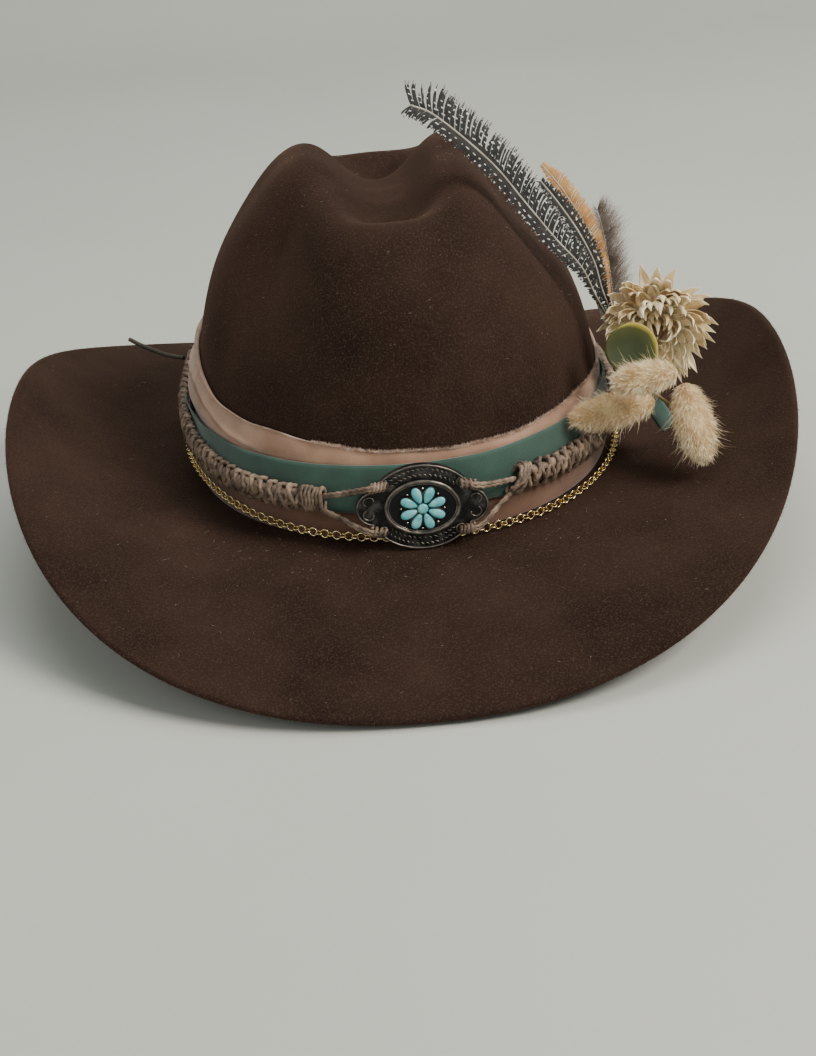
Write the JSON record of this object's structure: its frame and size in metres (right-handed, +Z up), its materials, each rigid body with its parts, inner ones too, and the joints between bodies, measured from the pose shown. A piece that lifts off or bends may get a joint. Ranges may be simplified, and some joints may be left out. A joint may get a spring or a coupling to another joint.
{
  "type": "cowboy hat",
  "caption": "Brown felt cowboy hat with a creased crown and curled brim, dressed with velvet bands, a braid, a concho, a fine chain and a posy of dried flowers and feathers.",
  "frame": {"origin": "centre of the head opening, at the line where the crown meets the brim", "axes": "+Z up out of the crown, -Y the front of the hat, +X the wearer's left side, which carries the posy"},
  "size_m": [0.323, 0.3819, 0.1862],
  "materials": {
    "felt": "brushed felt",
    "sweat_leather": "satin",
    "bow_satin": "satin ribbon",
    "blush_velvet": "crushed velvet",
    "green_velvet": "velvet",
    "waxed_cord": "waxed cord",
    "tail_cord": "waxed cord",
    "dark_metal": "antiqued",
    "black_enamel": "gloss",
    "turquoise": "polished",
    "gold": "polished",
    "grass_head": "soft bristle",
    "dried_petal": "dry",
    "leaf": "waxy",
    "stem": "dry",
    "guinea_feather": "barred and spotted",
    "quill": "horn",
    "pheasant_feather": "soft",
    "down": "downy"
  },
  "bodies": {
    "root": {"back_knot": "waxed_cord", "braid_left": "waxed_cord", "braid_right": "waxed_cord", "bunny_tail_1": "grass_head", "bunny_tail_2": "grass_head", "bunny_tail_3": "grass_head", "chain_links": "gold", "concho_bezel": "dark_metal", "concho_inlay": "black_enamel", "concho_plate": "dark_metal", "down_plume": "down", "dried_flower": "dried_petal", "felt_body": "felt", "flower_setting": "dark_metal", "green_velvet_ribbon": "green_velvet", "guinea_feather_long": "guinea_feather", "guinea_feather_short": "guinea_feather", "guinea_quill": "quill", "knot_right": "waxed_cord", "lace_left_lower": "waxed_cord", "lace_left_upper": "waxed_cord", "lace_right_lower": "waxed_cord", "lace_right_upper": "waxed_cord", "pheasant_feather": "pheasant_feather", "posy_binding": "green_velvet", "posy_stems": "stem", "ribbon_loop": "green_velvet", "ribbon_tail": "green_velvet", "round_leaf": "leaf", "sweatband": "sweat_leather", "sweatband_bow": "bow_satin", "tan_velvet_band": "blush_velvet", "tie_tail": "tail_cord", "turquoise_centre": "turquoise", "turquoise_petals": "turquoise", "wrap_left": "waxed_cord"}
  },
  "joints": []
}
